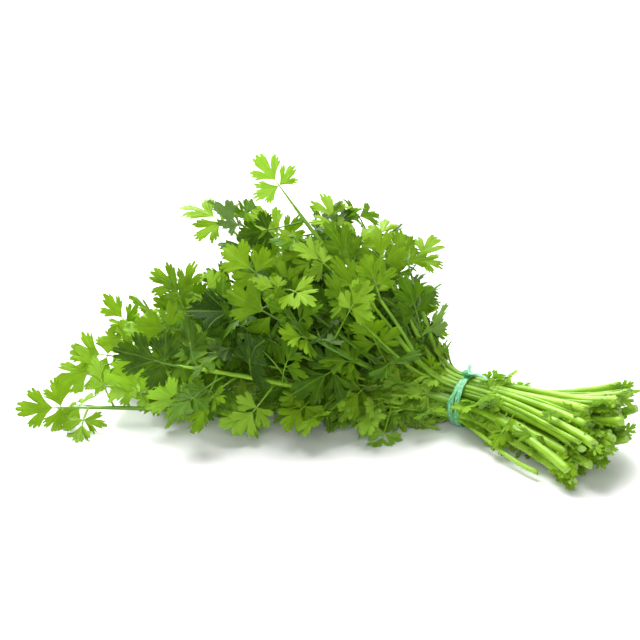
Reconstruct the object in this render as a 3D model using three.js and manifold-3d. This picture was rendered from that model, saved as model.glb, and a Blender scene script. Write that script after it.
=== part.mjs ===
// A tied bunch of coriander lying on a table.
// Millimetres, +Z up. The bunch lies along X: the cut ends point to +X and the foliage fans out towards -X.
// The origin is the foot of the tie, where its underside rests on the table. The front of the bunch is at -Y.
// Every stem with its own leaves is one solid. Stems leave the tie in a fan in which no two of them cross,
// and a leaf that would cross a neighbour is turned until it is clear, or left out.
import * as THREE from "three";
import { mergeVertices } from "three/addons/utils/BufferGeometryUtils.js";
import Module from "manifold-3d";

const wasm = await Module();
wasm.setup();

// ---- Bundle of stems in the tie ----
const STEM_PITCH = 3.55; // between the centres of neighbouring stems
const BUNDLE_HALF_WIDTH = 13; // to the outermost stem centres, along Y
const BUNDLE_HALF_HEIGHT = 10; // to the outermost stem centres, along Z
const STEM_RADIUS_TIED = 1.5;
const STEM_RADIUS_CUT = 1.9;
const STEM_RADIUS_TIP = 0.85;
const STEM_SIDES = 5;
const STEM_STEP = 60; // between the bends of a stem in the foliage
const TIED_HALF_LENGTH = 5; // on each side of the tie, where the stems run straight
const CUT_BENDS = [1, 0.6, 0.26]; // shares of a stem's cut length at which it bends
const FLARE_BENDS = [0.56, 1]; // shares of FLARE_LENGTH at which it bends

// ---- Tie: two turns of a soft strip, a knot and two tails ----
const STRIP_WIDTH = 3.2;
const STRIP_THICKNESS = 0.8;
const STRIP_CLEARANCE = 1.3; // between the outermost stems and the strip
const STRIP_LEAN = 6.5; // degrees that each turn of the strip leans, about Z
const STRIP_STEPS = 16;
const KNOT_HALF_SIZE = [3, 2.4, 1.5];
const TAIL_SHARE = 0.8; // of the strip's width, where its tails are crumpled
// Middle lines of the two tails, from the knot: above the top of the turns.
const LONG_TAIL = [
  [0, 0, 0.9],
  [5, -2, 2.6],
  [9, -3.5, 3],
  [13, -4.5, 2],
];
const SHORT_TAIL = [
  [0, 0, 0.9],
  [-1, 4, 2.4],
  [-3, 8, 2.2],
];
const RING_HALF_WIDTH = BUNDLE_HALF_WIDTH + STEM_RADIUS_TIED + STRIP_CLEARANCE + STRIP_THICKNESS;
const RING_HALF_HEIGHT = BUNDLE_HALF_HEIGHT + STEM_RADIUS_TIED + STRIP_CLEARANCE + STRIP_THICKNESS;
const TIE_HEIGHT = RING_HALF_HEIGHT * Math.cos(Math.PI / STRIP_STEPS); // its lowest flat is at Z 0

// ---- Cut ends, towards +X ----
const CUT_LENGTH = { shortest: 70, longest: 91 };
const CUT_LENGTH_LOSS = { front: 0.14, back: 0.1 }; // shares that the outermost stems lack there
const CUT_SPREAD = { wide: 2.9, tall: 1.35 }; // growth of the bundle at the longest cut end
const CUT_TILT = 0.42; // slope across the longest cut ends, which lie lowest at the front
const CUT_TWIST = 16; // degrees that the bundle turns from the tie to the longest cut end
const CUT_DRIFT = -15; // that the middle of the longest cut ends lies beside the tie, along Y

// ---- Foliage fan, towards -X ----
const FAN_AZIMUTH = { front: -37.5, back: 31 }; // degrees, positive towards +Y
const FAN_RISE = { low: 1, high: 54 }; // degrees above the table
const FAN_JITTER = 2.6; // degrees, at most
const RISE_POWER = 1.5; // above 1, more of the stems lie low
const REACH_POWER = 0.85;
const FLARE_LENGTH = 36; // over which a stem bends from the tie into its own direction
const BUNCH_REACH = { low: 215, high: 72 }; // longest stems from the tie, among the lowest and the steepest
// Stem number: its length from the tie, where it isn't drawn.
const LONG_STEMS = { 1: 201, 2: 194, 5: 162, 6: 171, 19: 146, 22: 160, 29: 122, 35: 131 };
const TIP_ROLLS = { 22: -48 }; // stem number: degrees that the leaf at its tip turns, negative to the front
const BOW = 8; // rise of the steepest stems above their straight direction, 100 mm from the tie

// ---- Leaves ----
const BLADE_THICKNESS = 0.7;
const CLEAR_THICKNESS = 1.7; // of the thicker blade that is tried for clearance
const PETIOLE_HALF_WIDTH = 0.65;
const LONG_PETIOLE = 10; // above which a petiole has a bend half way
const LEAFLET_RADIUS = [12.5, 18]; // of end leaflets
const SMALL_RADIUS = [8, 12]; // of the single leaflets near the tie and among the cut stems
const SIDE_SHARE = 0.84; // of a side leaflet's radius to the end leaflet's
const END_SHARE = 0.46; // of the end leaflet's radius, from the side leaflets to its base
const RIB_SHARE = 0.34; // of a leaflet's radius, from its base to the point where its facets meet
const LEAFLET_HALF_ANGLE = { end: 60, side: 48 }; // degrees
const SIDE_LEAFLET_ANGLE = 77; // degrees from the rachis
const BASE_NARROWING = 0.4; // share of the fan's half angle that is lost at its base
const CUP = 0.12; // fall of a leaflet's sides, as a share of its radius
const LEAF_SPACING = 36; // along a stem
const SMALL_LEAVES = { atCut: 13, atTie: 5 };
const OUTER_STEMS = 0.72; // least outerness of the stems that carry small leaves
const FACING = new THREE.Vector3(0, -0.38, 0.5); // that leaves turn to, beside facing out of the bunch
const FAN_MIDDLE = new THREE.Vector3(-1, 0, 0.3).normalize();
const LEAF_TURNS = 14; // placings tried for each leaf
const ROOT_OVERLAP = 3.5; // mm3 that a leaf may share with its own stem, at its root
const DEEPEST_FOLD = 9; // that a leaf may be pushed up by the table
const FOLIAGE_EDGE = { x: -16, slant: 0.5 }; // beside the tie: the foliage keeps x + slant y below x
const SIDE_LEAF_CEILING = 104; // height above the table that only the leaves at the tips pass
const TRIANGLE_BUDGET = 14600; // of the stems and leaves, before they are joined

const UP = new THREE.Vector3(0, 0, 1);
const radians = THREE.MathUtils.degToRad;
const mix = THREE.MathUtils.lerp;

// ---- Seeded draws: a number from 0 to 1 that depends only on its keys ----
function draw(a, b = 0, c = 0, d = 0) {
  const wave = Math.sin(a * 12.9898 + b * 78.233 + c * 37.719 + d * 19.137) * 43758.5453;
  return wave - Math.floor(wave);
}
const between = (low, high, ...keys) => mix(low, high, draw(...keys));

// ---- Vectors ----
const cross = (a, b) => new THREE.Vector3().crossVectors(a, b);
const blend = (a, shareOfA, b, shareOfB) => a.clone().multiplyScalar(shareOfA).addScaledVector(b, shareOfB);
const perpendicular = (v, to) => v.clone().addScaledVector(to, -v.dot(to)).normalize();

// ---- Stems ----
// Slots for the stems in the tie, in rows like stacked pencils. across and up run from -1 to 1.
function bundleSlots() {
  const slots = [];
  const rowHeight = (STEM_PITCH * Math.sqrt(3)) / 2;
  const rows = Math.floor(BUNDLE_HALF_HEIGHT / rowHeight);
  const columns = Math.ceil(BUNDLE_HALF_WIDTH / STEM_PITCH);
  for (let row = -rows; row <= rows; row++)
    for (let column = -columns; column <= columns; column++) {
      const across = ((column + (row % 2 ? 0.5 : 0)) * STEM_PITCH) / BUNDLE_HALF_WIDTH;
      const up = (row * rowHeight) / BUNDLE_HALF_HEIGHT;
      if (Math.hypot(across, up) < 1.01) slots.push({ across, up, outerness: Math.hypot(across, up) });
    }
  return slots;
}

function makeStem(slot, index) {
  const { across, up, outerness } = slot;
  const jitter = (key) => between(-FAN_JITTER, FAN_JITTER, index, key);
  const height = (up + 1) / 2;
  const rowHalfWidth = Math.sqrt(1.05 - up * up);
  const back = (across / rowHalfWidth + 1) / 2;
  const azimuth = radians(mix(FAN_AZIMUTH.front, FAN_AZIMUTH.back, back) + jitter(1));
  const rise = radians(mix(FAN_RISE.low, FAN_RISE.high, height ** RISE_POWER) + jitter(2) * height);
  const longest = mix(BUNCH_REACH.low, BUNCH_REACH.high, height ** REACH_POWER);
  const cutLoss = across < 0 ? -across * CUT_LENGTH_LOSS.front : across * CUT_LENGTH_LOSS.back;
  return {
    ...slot,
    index,
    direction: new THREE.Vector3(-Math.cos(azimuth), Math.sin(azimuth), Math.tan(rise)).normalize(),
    bow: BOW * height * between(0.2, 1.8, index, 3),
    length: LONG_STEMS[index] ?? longest * between(0.55 + 0.25 * outerness, 1, index, 4),
    cut: (1 - cutLoss) * between(CUT_LENGTH.shortest, CUT_LENGTH.longest, index, 5),
  };
}

// A point on a stem's centre line, at a distance from the tie: above 0 in the foliage, below 0 to the cut.
function stemPoint(stem, distance) {
  return distance < 0 ? cutSidePoint(stem, -distance) : foliagePoint(stem, distance);
}

// Towards the cut ends the bundle widens, turns a little and tilts, and its lowest stems stay near the table.
function cutSidePoint(stem, distance) {
  const grown = (distance / CUT_LENGTH.longest) ** 1.6;
  const wide = BUNDLE_HALF_WIDTH * mix(1, CUT_SPREAD.wide, grown);
  const tall = BUNDLE_HALF_HEIGHT * mix(1, CUT_SPREAD.tall, grown);
  const tilt = CUT_TILT * grown;
  const twist = radians(CUT_TWIST) * grown;
  const y = wide * (stem.across * Math.cos(twist) - stem.up * Math.sin(twist));
  const z = tall * (stem.across * Math.sin(twist) + stem.up * Math.cos(twist)) + tilt * y;
  const lift = Math.hypot(tall, tilt * wide) - BUNDLE_HALF_HEIGHT;
  return new THREE.Vector3(distance, CUT_DRIFT * grown + y, TIE_HEIGHT + lift + z);
}

// In the foliage a stem bends evenly into its own direction, then runs on with a slight bow.
function foliagePoint(stem, distance) {
  const bent = distance < FLARE_LENGTH ? distance ** 2 / (2 * FLARE_LENGTH) : distance - FLARE_LENGTH / 2;
  return new THREE.Vector3(
    bent - distance,
    stem.across * BUNDLE_HALF_WIDTH,
    TIE_HEIGHT + stem.up * BUNDLE_HALF_HEIGHT + stem.bow * (distance / 100) ** 2,
  ).addScaledVector(stem.direction, bent);
}

const stemTangent = (stem, distance) =>
  stemPoint(stem, distance + 0.5)
    .sub(stemPoint(stem, distance - 0.5))
    .normalize();

function stemRadius(stem, distance) {
  if (distance < 0) return mix(STEM_RADIUS_TIED, STEM_RADIUS_CUT, -distance / stem.cut);
  return mix(STEM_RADIUS_TIED, STEM_RADIUS_TIP, distance / stem.length);
}

// ---- Leaf shape ----
// Margin of a fan-shaped leaflet: distance from its base as a share of its radius.
// side runs from -1 to 1 across the fan. Two clefts divide it into three lobes.
const CLEFT_AT = 0.37;
const CLEFT_HALF_WIDTH = 0.13;
function marginAt(side, cleftDepth) {
  const away = Math.abs(side);
  const cleft = Math.max(0, 1 - Math.abs(away - CLEFT_AT) / CLEFT_HALF_WIDTH);
  return (1 - 0.2 * away ** 1.5) * (1 - cleftDepth * cleft ** 0.8);
}

// Corners of the cut margin, on one side: [side, share of marginAt that is kept].
const END_MARGIN = [
  [1, 0.9],
  [0.68, 1],
  [CLEFT_AT, 1],
  [0.2, 0.98],
  [0.1, 0.84],
  [0, 1],
];
const SIDE_MARGIN = [
  [1, 0.9],
  [0.68, 1],
  [CLEFT_AT, 1],
  [0, 1.02],
];

function bothSides(margin) {
  const left = margin.slice(0, -1).map(([side, kept]) => [-side, kept]);
  return [...margin, ...left.reverse()];
}

// One leaflet of a leaf: side is 1 for the right one, -1 for the left one and 0 for the one at the end.
function makeLeaflet(leaf, side) {
  const drawn = (low, high, key) => between(low, high, leaf.key, side + 2, key);
  const curves = {
    side,
    droop: drawn(-0.05, 0.3, 14),
    fold: drawn(0.02, 0.25, 15),
  };
  if (side)
    return {
      ...curves,
      at: leaf.petiole,
      stalk: leaf.radius * drawn(0.14, 0.24, 11),
      angle: radians(SIDE_LEAFLET_ANGLE),
      halfAngle: radians(LEAFLET_HALF_ANGLE.side),
      radius: leaf.radius * SIDE_SHARE * drawn(0.9, 1.05, 12),
      tilt: radians(drawn(-26, 26, 13)),
      cleft: drawn(0.18, 0.36, 16),
      margin: bothSides(SIDE_MARGIN),
    };
  return {
    ...curves,
    at: leaf.petiole + (leaf.small ? 0 : leaf.radius * END_SHARE),
    stalk: 0,
    angle: 0,
    halfAngle: radians(LEAFLET_HALF_ANGLE.end),
    radius: leaf.radius,
    tilt: radians(drawn(-14, 14, 13)),
    cleft: drawn(0.2, 0.4, 16),
    margin: bothSides(leaf.small ? SIDE_MARGIN : END_MARGIN),
  };
}

// The rachis is an arc. Returns its point and its forward, normal and right-hand directions at a distance.
function rachisAt(leaf, distance) {
  const turn = leaf.curl * distance;
  const forward = blend(leaf.forward, Math.cos(turn), leaf.normal, -Math.sin(turn));
  const normal = blend(leaf.normal, Math.cos(turn), leaf.forward, Math.sin(turn));
  const ahead = Math.sin(turn) / leaf.curl;
  const down = (Math.cos(turn) - 1) / leaf.curl;
  const point = blend(leaf.forward, ahead, leaf.normal, down).add(leaf.origin);
  return { point, forward, normal, right: cross(forward, normal) };
}

// A point of a leaflet's curved surface: along its rib from its base, and sideways to its right.
function leafletPoint(leaf, leaflet, along, sideways) {
  const { point, forward, normal, right } = rachisAt(leaf, leaflet.at);
  const rib = blend(forward, Math.cos(leaflet.angle), right, leaflet.side * Math.sin(leaflet.angle));
  const face = blend(normal, Math.cos(leaflet.tilt), cross(rib, normal), Math.sin(leaflet.tilt));
  const { radius, droop, fold, stalk } = leaflet;
  const rise = fold * (Math.hypot(sideways, 0.1 * radius) - 0.1 * radius);
  const fall = (droop * along ** 2 + CUP * sideways ** 2) / radius;
  return point
    .addScaledVector(rib, stalk + along)
    .addScaledVector(cross(rib, face), sideways)
    .addScaledVector(face, rise - fall);
}

// A point of the fan, which narrows towards its base, so that its sides are hollow.
function fanPoint(leaf, leaflet, side, share) {
  const angle = side * leaflet.halfAngle * (1 - BASE_NARROWING * (1 - share));
  const distance = share * leaflet.radius;
  return leafletPoint(leaf, leaflet, distance * Math.cos(angle), distance * Math.sin(angle));
}

// ---- Sheets: surfaces of triangles that are thickened into solids ----
function newSheet() {
  const points = [];
  const faces = [];
  return {
    points,
    faces,
    point: (p) => points.push(p) - 1,
    quad: (a, b, c, d) => faces.push([a, b, c], [a, c, d]),
    face: (a, b, c) => faces.push([a, b, c]),
  };
}

function addLeaflet(sheet, leaf, leaflet, rightBase, leftBase) {
  const rib = sheet.point(leafletPoint(leaf, leaflet, leaflet.radius * RIB_SHARE, 0));
  const margin = leaflet.margin.map(([side, kept]) =>
    sheet.point(fanPoint(leaf, leaflet, side, marginAt(side, leaflet.cleft) * kept)),
  );
  const ring = [rightBase, ...margin, leftBase];
  for (let i = 0; i < ring.length; i++) sheet.face(rib, ring[i], ring[(i + 1) % ring.length]);
}

// The whole leaf is one sheet: its petiole and rachis are a strip, from which the leaflets' stalks branch.
function leafSheet(leaf) {
  const sheet = newSheet();
  const edges = (distance) => {
    const { point, right } = rachisAt(leaf, distance);
    const edge = (side) => point.clone().addScaledVector(right, side * PETIOLE_HALF_WIDTH);
    return [sheet.point(edge(1)), sheet.point(edge(-1))];
  };
  const end = makeLeaflet(leaf, 0);
  const stations = [0];
  if (leaf.petiole > LONG_PETIOLE) stations.push(leaf.petiole * 0.5);
  if (!leaf.small) stations.push(leaf.petiole - PETIOLE_HALF_WIDTH, leaf.petiole + PETIOLE_HALF_WIDTH);
  const rows = [...stations, end.at].map(edges);
  for (let i = 1; i < rows.length; i++) sheet.quad(rows[i - 1][0], rows[i][0], rows[i][1], rows[i - 1][1]);
  const [near, far] = rows.slice(-3, -1);
  for (const side of leaf.small ? [] : [1, -1]) {
    const leaflet = makeLeaflet(leaf, side);
    const roots = side > 0 ? [near[0], far[0]] : [far[1], near[1]];
    const base = (edge) => sheet.point(leafletPoint(leaf, leaflet, 0, edge * PETIOLE_HALF_WIDTH));
    const bases = [base(1), base(-1)];
    sheet.quad(roots[0], bases[0], bases[1], roots[1]);
    addLeaflet(sheet, leaf, leaflet, ...bases);
  }
  addLeaflet(sheet, leaf, end, ...rows.at(-1));
  return sheet;
}

// A leaf that meets the table lies flat on it.
function restOnTable(sheet) {
  for (const p of sheet.points) p.z = Math.max(p.z, BLADE_THICKNESS / 2);
}

// The two faces of a sheet use the same triangles, so they never cross.
function thicken(sheet, thickness) {
  const geometry = new THREE.BufferGeometry().setFromPoints(sheet.points).setIndex(sheet.faces.flat());
  geometry.computeVertexNormals();
  const normals = geometry.getAttribute("normal");
  const normalAt = (i) => new THREE.Vector3().fromBufferAttribute(normals, i);
  const face = (offset) => sheet.points.map((p, i) => p.clone().addScaledVector(normalAt(i), offset));
  const count = sheet.points.length;
  const edgesOf = ([a, b, c]) => [`${a},${b}`, `${b},${c}`, `${c},${a}`];
  const edges = new Set(sheet.faces.flatMap(edgesOf));
  const triangles = sheet.faces.flatMap(([a, b, c]) => [a, b, c, c + count, b + count, a + count]);
  for (const edge of edges) {
    const [from, to] = edge.split(",").map(Number);
    if (!edges.has(`${to},${from}`)) triangles.push(to, from, from + count, to, from + count, to + count);
  }
  return solidOf([...face(thickness / 2), ...face(-thickness / 2)], triangles);
}

// ---- Solids ----
function solidOf(points, triangles) {
  const vertProperties = new Float32Array(points.flatMap((p) => p.toArray()));
  const triVerts = new Uint32Array(triangles);
  return new wasm.Manifold(new wasm.Mesh({ numProp: 3, vertProperties, triVerts }));
}

function closedSolid(geometry) {
  geometry.deleteAttribute("normal").deleteAttribute("uv");
  const { attributes, index } = mergeVertices(geometry, 1e-4);
  const vertProperties = attributes.position.array;
  const triVerts = new Uint32Array(index.array);
  return new wasm.Manifold(new wasm.Mesh({ numProp: 3, vertProperties, triVerts }));
}

// A closed tube through points, with its own radius at each of them.
function taperedTube(points, radii) {
  const rings = [];
  let normal = UP;
  points.forEach((p, i) => {
    const ahead = points[Math.min(i + 1, points.length - 1)];
    const behind = points[Math.max(i - 1, 0)];
    const tangent = ahead.clone().sub(behind).normalize();
    normal = perpendicular(normal, tangent);
    for (let k = 0; k < STEM_SIDES; k++) {
      const angle = (2 * Math.PI * k) / STEM_SIDES;
      const out = blend(normal, Math.cos(angle), cross(tangent, normal), Math.sin(angle));
      rings.push(p.clone().addScaledVector(out, radii[i]));
    }
  });
  const triangles = [];
  for (let i = 0; i + 1 < points.length; i++)
    for (let k = 0; k < STEM_SIDES; k++) {
      const a = i * STEM_SIDES + k;
      const b = i * STEM_SIDES + ((k + 1) % STEM_SIDES);
      triangles.push(a, b, b + STEM_SIDES, a, b + STEM_SIDES, a + STEM_SIDES);
    }
  const last = (points.length - 1) * STEM_SIDES;
  for (let k = 1; k + 1 < STEM_SIDES; k++) triangles.push(0, k + 1, k, last, last + k, last + k + 1);
  return solidOf(rings, triangles);
}

function stemSolid(stem) {
  const stations = CUT_BENDS.map((share) => -share * stem.cut);
  stations.push(-TIED_HALF_LENGTH, TIED_HALF_LENGTH, ...FLARE_BENDS.map((share) => share * FLARE_LENGTH));
  const rest = stem.length - FLARE_LENGTH;
  const steps = Math.max(1, Math.round(rest / STEM_STEP));
  for (let i = 1; i <= steps; i++) stations.push(FLARE_LENGTH + (rest * i) / steps);
  return taperedTube(
    stations.map((distance) => stemPoint(stem, distance)),
    stations.map((distance) => stemRadius(stem, distance)),
  );
}

// ---- Placing of leaves ----
// The way out of the bunch at a point: away from the middle line of the fan, turned up and to the front.
function outward(point) {
  const fromTie = point.clone().sub(new THREE.Vector3(0, 0, TIE_HEIGHT));
  const radial = perpendicular(fromTie, FAN_MIDDLE);
  radial.z = Math.max(radial.z, 0);
  return radial.add(FACING).normalize();
}

// The leaf at a stem's tip is order 0, and the next ones follow towards the tie.
// The last two orders are small leaves: among the cut stems, and just beyond the tie.
const SMALL_AT_CUT = 6;
const SMALL_AT_TIE = 7;
function leafDistance(stem, order) {
  if (order === 0) return stem.length - 3;
  if (order === SMALL_AT_CUT) return -between(12, stem.cut - 4, stem.index, 31);
  if (order === SMALL_AT_TIE) return between(10, 34, stem.index, 32);
  return stem.length - order * LEAF_SPACING - between(0, 8, stem.index, order, 21);
}

// One leaf of a stem, in one of the ways in which it may be turned. Later turns are looser and smaller.
function poseLeaf(stem, order, turn) {
  const key = stem.index * 10 + order;
  const drawn = (low, high, ...keys) => between(low, high, key, ...keys);
  const loose = 1 + turn * 0.16;
  const tip = order === 0;
  const small = order >= SMALL_AT_CUT;
  const distance = leafDistance(stem, order);
  const origin = stemPoint(stem, distance);
  const tangent = stemTangent(stem, distance).multiplyScalar(small && drawn(0, 1, 29) < 0.5 ? -1 : 1);
  const swing = tip ? drawn(-180, 180, turn, 22) : drawn(-75, 75, turn, 22) * Math.min(loose, 2);
  const away = radians(tip ? drawn(0, 16, turn, 24) * loose : drawn(30, 62, turn, 24));
  const sideways = perpendicular(outward(origin), tangent).applyAxisAngle(tangent, radians(swing));
  const forward = blend(tangent, Math.cos(away), sideways, Math.sin(away));
  const roll = drawn(-26, 26, turn, 25) * loose + (tip ? (TIP_ROLLS[stem.index] ?? 0) : 0);
  const petiole = tip ? [5, 9] : [12, 24];
  return {
    key,
    small,
    origin,
    forward,
    normal: perpendicular(outward(origin), forward).applyAxisAngle(forward, radians(roll)),
    curl: drawn(0.004, 0.016, turn, 26),
    petiole: drawn(...(small ? [3, 9] : petiole), 27),
    radius: drawn(...(small ? SMALL_RADIUS : LEAFLET_RADIUS), 28) * (1 - 0.018 * turn),
  };
}

const boxesMeet = (a, b) => [0, 1, 2].every((k) => a.min[k] <= b.max[k] && b.min[k] <= a.max[k]);
const meets = (a, b) => boxesMeet(a.boundingBox(), b.boundingBox()) && a.intersect(b).volume() > 0;

// A leaf is clear when a thicker copy of it meets no other stem, no other leaf and not the tie.
function isClear(sheet, sprig, sprigs, tie) {
  const tried = thicken(sheet, CLEAR_THICKNESS);
  const otherStems = sprigs.filter((other) => other !== sprig).map((other) => other.stem);
  const leaves = sprigs.flatMap((other) => other.leaves);
  if ([tie, ...otherStems, ...leaves].some((solid) => meets(tried, solid))) return false;
  return thicken(sheet, BLADE_THICKNESS).intersect(sprig.stem).volume() < ROOT_OVERLAP;
}

// Leaves keep within the outline of the foliage, apart from the small ones near the tie and the cut ends.
function isInFoliage(sheet, order) {
  if (sheet.points.some((p) => p.z < -DEEPEST_FOLD)) return false;
  if (order >= SMALL_AT_CUT) return true;
  if (order > 0 && sheet.points.some((p) => p.z > SIDE_LEAF_CEILING)) return false;
  return sheet.points.every((p) => p.x + FOLIAGE_EDGE.slant * p.y < FOLIAGE_EDGE.x);
}

function growLeaf(sprig, order, sprigs, tie) {
  for (let turn = 0; turn < LEAF_TURNS; turn++) {
    const sheet = leafSheet(poseLeaf(sprig.plan, order, turn));
    if (!isInFoliage(sheet, order)) continue;
    restOnTable(sheet);
    if (!isClear(sheet, sprig, sprigs, tie)) continue;
    sprig.leaves.push(thicken(sheet, BLADE_THICKNESS));
    return true;
  }
  return false;
}

function growSmallLeaves(count, order, carriers, sprigs, tie) {
  let grown = 0;
  for (const sprig of carriers) if (grown < count && growLeaf(sprig, order, sprigs, tie)) grown++;
}

// Places for side leaves, those of the outermost and front stems first, and near the tips first.
function leafPlaces(sprigs) {
  const places = [];
  for (const sprig of sprigs)
    for (let order = 1; order < SMALL_AT_CUT; order++)
      if (sprig.plan.length - order * LEAF_SPACING > FLARE_LENGTH)
        places.push({ sprig, order, rank: sprig.plan.outerness - 0.4 * sprig.plan.across - 0.3 * order });
  return places.sort((a, b) => b.rank - a.rank);
}

function countTriangles(sprigs) {
  const solids = sprigs.flatMap(({ stem, leaves }) => [stem, ...leaves]);
  return solids.reduce((sum, solid) => sum + solid.numTri(), 0);
}

function growSprigs(tie) {
  const sprigs = bundleSlots().map((slot, i) => {
    const plan = makeStem(slot, i + 1);
    return { plan, stem: stemSolid(plan), leaves: [] };
  });
  for (const sprig of sprigs) growLeaf(sprig, 0, sprigs, tie);
  const outer = sprigs.filter(({ plan }) => plan.outerness > OUTER_STEMS);
  growSmallLeaves(SMALL_LEAVES.atCut, SMALL_AT_CUT, outer, sprigs, tie);
  growSmallLeaves(SMALL_LEAVES.atTie, SMALL_AT_TIE, outer, sprigs, tie);
  for (const { sprig, order } of leafPlaces(sprigs))
    if (countTriangles(sprigs) < TRIANGLE_BUDGET) growLeaf(sprig, order, sprigs, tie);
  return sprigs;
}

// ---- Tie ----
// A closed turn of the strip round the bundle, with a flat at its foot.
function stripTurn(lean) {
  const corners = [
    [-0.5, 0],
    [0.5, 0],
    [0.5, 1],
    [-0.5, 1],
  ];
  const points = [];
  const triangles = [];
  for (let i = 0; i < STRIP_STEPS; i++) {
    const angle = (2 * Math.PI * (i + 0.5)) / STRIP_STEPS - Math.PI / 2;
    for (const [along, inset] of corners) {
      const halfWidth = RING_HALF_WIDTH - inset * STRIP_THICKNESS;
      const halfHeight = RING_HALF_HEIGHT - inset * STRIP_THICKNESS;
      const y = Math.cos(angle) * halfWidth;
      const z = Math.sin(angle) * halfHeight;
      points.push(new THREE.Vector3(along * STRIP_WIDTH, y, z).applyAxisAngle(UP, radians(lean)));
    }
    const here = i * 4;
    const next = ((i + 1) % STRIP_STEPS) * 4;
    for (let k = 0; k < 4; k++) {
      const m = (k + 1) % 4;
      triangles.push(here + m, here + k, next + m, next + m, here + k, next + k);
    }
  }
  return solidOf(points, triangles).translate(0, 0, TIE_HEIGHT);
}

function stripTail(middleLine) {
  const sheet = newSheet();
  const points = middleLine.map(([x, y, z]) => new THREE.Vector3(x, y, TIE_HEIGHT + RING_HALF_HEIGHT + z));
  const rows = points.map((p, i) => {
    const ahead = points[Math.min(i + 1, points.length - 1)];
    const behind = points[Math.max(i - 1, 0)];
    const right = cross(ahead.clone().sub(behind), UP).setLength((TAIL_SHARE * STRIP_WIDTH) / 2);
    return [sheet.point(p.clone().add(right)), sheet.point(p.clone().sub(right))];
  });
  for (let i = 1; i < rows.length; i++) sheet.quad(rows[i - 1][0], rows[i][0], rows[i][1], rows[i - 1][1]);
  return thicken(sheet, STRIP_THICKNESS);
}

function tieSolid() {
  const knot = new THREE.SphereGeometry(1, 8, 6).scale(...KNOT_HALF_SIZE);
  knot.translate(0, 0, TIE_HEIGHT + RING_HALF_HEIGHT + STRIP_THICKNESS);
  return wasm.Manifold.union([
    stripTurn(STRIP_LEAN),
    stripTurn(-STRIP_LEAN),
    closedSolid(knot),
    stripTail(LONG_TAIL),
    stripTail(SHORT_TAIL),
  ]);
}

// ---- Meshes ----
const leafGreen = new THREE.MeshStandardMaterial({ color: "#5f9426", roughness: 0.5, metalness: 0 });
const stripGreen = new THREE.MeshStandardMaterial({ color: "#4fb583", roughness: 0.35, metalness: 0 });

function meshOf(name, solid, material) {
  const { vertProperties, triVerts } = solid.getMesh();
  const geometry = new THREE.BufferGeometry();
  geometry.setAttribute("position", new THREE.BufferAttribute(new Float32Array(vertProperties), 3));
  geometry.setIndex(new THREE.BufferAttribute(new Uint32Array(triVerts), 1));
  geometry.computeVertexNormals();
  const mesh = new THREE.Mesh(geometry, material);
  mesh.name = name;
  return mesh;
}

const bunch = new THREE.Group();
bunch.name = "coriander_bunch";
const tie = tieSolid();
for (const { plan, stem, leaves } of growSprigs(tie)) {
  const name = `sprig_${String(plan.index).padStart(2, "0")}`;
  bunch.add(meshOf(name, wasm.Manifold.union([stem, ...leaves]), leafGreen));
}
bunch.add(meshOf("tie", tie, stripGreen));

export default bunch;
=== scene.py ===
"""A tied bunch of coriander lying on a pale table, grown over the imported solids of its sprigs."""

import math
from math import cos, hypot, pi, radians, sin
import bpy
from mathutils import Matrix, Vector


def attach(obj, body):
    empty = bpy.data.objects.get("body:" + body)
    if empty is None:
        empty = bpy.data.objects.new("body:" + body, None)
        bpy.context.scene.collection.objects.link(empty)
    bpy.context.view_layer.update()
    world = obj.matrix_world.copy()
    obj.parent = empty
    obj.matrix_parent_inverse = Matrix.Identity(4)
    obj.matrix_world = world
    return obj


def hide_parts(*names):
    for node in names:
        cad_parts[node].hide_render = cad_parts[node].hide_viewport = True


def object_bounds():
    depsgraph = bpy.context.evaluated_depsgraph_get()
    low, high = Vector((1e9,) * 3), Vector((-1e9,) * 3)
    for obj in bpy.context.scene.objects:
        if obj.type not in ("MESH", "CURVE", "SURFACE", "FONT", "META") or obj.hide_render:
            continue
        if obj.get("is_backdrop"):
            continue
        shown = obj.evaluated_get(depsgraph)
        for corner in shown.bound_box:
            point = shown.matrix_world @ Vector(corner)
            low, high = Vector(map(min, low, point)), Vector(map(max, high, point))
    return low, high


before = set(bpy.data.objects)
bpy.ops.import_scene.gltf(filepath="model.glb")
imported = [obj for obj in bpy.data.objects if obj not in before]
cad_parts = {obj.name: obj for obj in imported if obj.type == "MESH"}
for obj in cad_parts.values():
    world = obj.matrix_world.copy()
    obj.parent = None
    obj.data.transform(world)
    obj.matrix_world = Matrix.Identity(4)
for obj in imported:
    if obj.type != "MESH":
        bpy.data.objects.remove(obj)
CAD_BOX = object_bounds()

from types import SimpleNamespace

import bmesh
import bpy
from bpy.props import FloatProperty, FloatVectorProperty, PointerProperty
from mathutils import Matrix, Vector, kdtree, noise

bl_info = {
    "name": "Coriander bunch",
    "version": (1, 0, 0),
    "blender": (4, 5, 0),
    "location": "3D View > Sidebar > Coriander",
    "description": "Grows the stems, the leaves and the binding strip of a tied bunch of coriander",
    "category": "Add Mesh",
}

# Lengths below are in millimetres and angles in degrees, unless a comment says otherwise.
# The bunch lies along X: cut ends towards +X, foliage towards -X, its front at -Y.
# A distance along a stem starts at the tie: above 0 in the foliage, below 0 to the cut end.
MM = 0.001
UP = Vector((0, 0, 1))

# ---- Bundle of stems in the tie: from here to the leaves, the same values as the solids ----
STEM_PITCH = 3.55
BUNDLE_HALF_WIDTH = 13
BUNDLE_HALF_HEIGHT = 10
STEM_RADIUS_TIED = 1.5
STEM_RADIUS_CUT = 1.9
STEM_RADIUS_TIP = 0.85
RING_HALF_WIDTH = 16.6
RING_HALF_HEIGHT = 13.6
STRIP_STEPS = 16
STRIP_WIDTH = 3.2
STRIP_THICKNESS = 0.8
STRIP_LEAN = 6.5
TIE_HEIGHT = RING_HALF_HEIGHT * cos(pi / STRIP_STEPS)

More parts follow.
